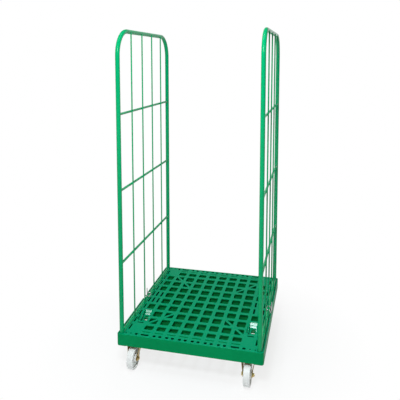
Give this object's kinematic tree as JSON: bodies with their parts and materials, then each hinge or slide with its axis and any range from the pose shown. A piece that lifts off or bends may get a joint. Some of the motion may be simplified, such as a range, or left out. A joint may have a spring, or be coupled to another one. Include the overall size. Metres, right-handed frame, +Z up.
{
  "type": "roll cage trolley",
  "caption": "Roll cage trolley: moulded grid base on swivel and fixed casters, open front and back, lift-out wire side panels held down by wire latches.",
  "frame": {"origin": "on the floor, under the middle of the trolley's footprint", "axes": "+Z up, -Y towards the open front with the swivel casters, +X across to the right-hand panel"},
  "size_m": [0.724, 0.8475, 1.672],
  "materials": {
    "moulded_green": "moulded, satin",
    "painted_green": "gloss powder coat",
    "plug_plastic": "moulded",
    "latch_wire": "bright zinc plate",
    "caster_zinc": "yellow zinc plate",
    "wheel_nylon": "natural nylon",
    "fastener_steel": "zinc plate"
  },
  "bodies": {
    "trolley": {"base_plate": "moulded_green", "left_frame_tube": "painted_green", "left_bottom_tube": "painted_green", "left_lower_cross_bar": "painted_green", "left_middle_cross_bar": "painted_green", "left_upper_cross_bar": "painted_green", "left_rod_1": "painted_green", "left_rod_2": "painted_green", "left_rod_3": "painted_green", "left_rod_4": "painted_green", "left_post_plugs": "plug_plastic", "right_frame_tube": "painted_green", "right_bottom_tube": "painted_green", "right_lower_cross_bar": "painted_green", "right_middle_cross_bar": "painted_green", "right_upper_cross_bar": "painted_green", "right_rod_1": "painted_green", "right_rod_2": "painted_green", "right_rod_3": "painted_green", "right_rod_4": "painted_green", "right_post_plugs": "plug_plastic", "front_caster_plates": "caster_zinc", "front_caster_ball_races": "caster_zinc", "front_caster_bearing_cups": "caster_zinc", "rear_caster_brackets": "caster_zinc", "front_caster_kingpins": "fastener_steel", "rear_bushes": "fastener_steel", "rear_axle_bolts": "fastener_steel", "rear_axle_nuts": "fastener_steel", "caster_screws": "fastener_steel"},
    "front_left_swivel": {"front_left_fork": "caster_zinc", "front_left_bush": "fastener_steel", "front_left_axle_bolt": "fastener_steel", "front_left_axle_nut": "fastener_steel"},
    "front_left_roller": {"front_left_wheel": "wheel_nylon"},
    "rear_left_roller": {"rear_left_wheel": "wheel_nylon"},
    "left_latch": {"left_latch_bail": "latch_wire"},
    "front_right_swivel": {"front_right_fork": "caster_zinc", "front_right_bush": "fastener_steel", "front_right_axle_bolt": "fastener_steel", "front_right_axle_nut": "fastener_steel"},
    "front_right_roller": {"front_right_wheel": "wheel_nylon"},
    "rear_right_roller": {"rear_right_wheel": "wheel_nylon"},
    "right_latch": {"right_latch_bail": "latch_wire"}
  },
  "joints": [
    {"name": "front_left_swivel_turn", "type": "hinge", "parent": "trolley", "child": "front_left_swivel", "pos_m": [-0.2855, -0.33375, 0.127], "axis": [0, 0, 1], "continuous": true},
    {"name": "front_left_wheel_spin", "type": "hinge", "parent": "front_left_swivel", "child": "front_left_roller", "pos_m": [-0.2855, -0.36975, 0.054], "axis": [1, 0, 0], "continuous": true},
    {"name": "rear_left_wheel_spin", "type": "hinge", "parent": "trolley", "child": "rear_left_roller", "pos_m": [-0.2855, 0.36625, 0.054], "axis": [1, 0, 0], "continuous": true},
    {"name": "left_latch_lift", "type": "hinge", "parent": "trolley", "child": "left_latch", "pos_m": [-0.3582, 0.01625, 0.1659], "axis": [0, -1, 0], "range_deg": [0, 90]},
    {"name": "front_right_swivel_turn", "type": "hinge", "parent": "trolley", "child": "front_right_swivel", "pos_m": [0.2855, -0.33375, 0.127], "axis": [0, 0, 1], "continuous": true},
    {"name": "front_right_wheel_spin", "type": "hinge", "parent": "front_right_swivel", "child": "front_right_roller", "pos_m": [0.2855, -0.36975, 0.054], "axis": [1, 0, 0], "continuous": true},
    {"name": "rear_right_wheel_spin", "type": "hinge", "parent": "trolley", "child": "rear_right_roller", "pos_m": [0.2855, 0.36625, 0.054], "axis": [1, 0, 0], "continuous": true},
    {"name": "right_latch_lift", "type": "hinge", "parent": "trolley", "child": "right_latch", "pos_m": [0.3582, 0.01625, 0.1659], "axis": [0, 1, 0], "range_deg": [0, 90]}
  ]
}
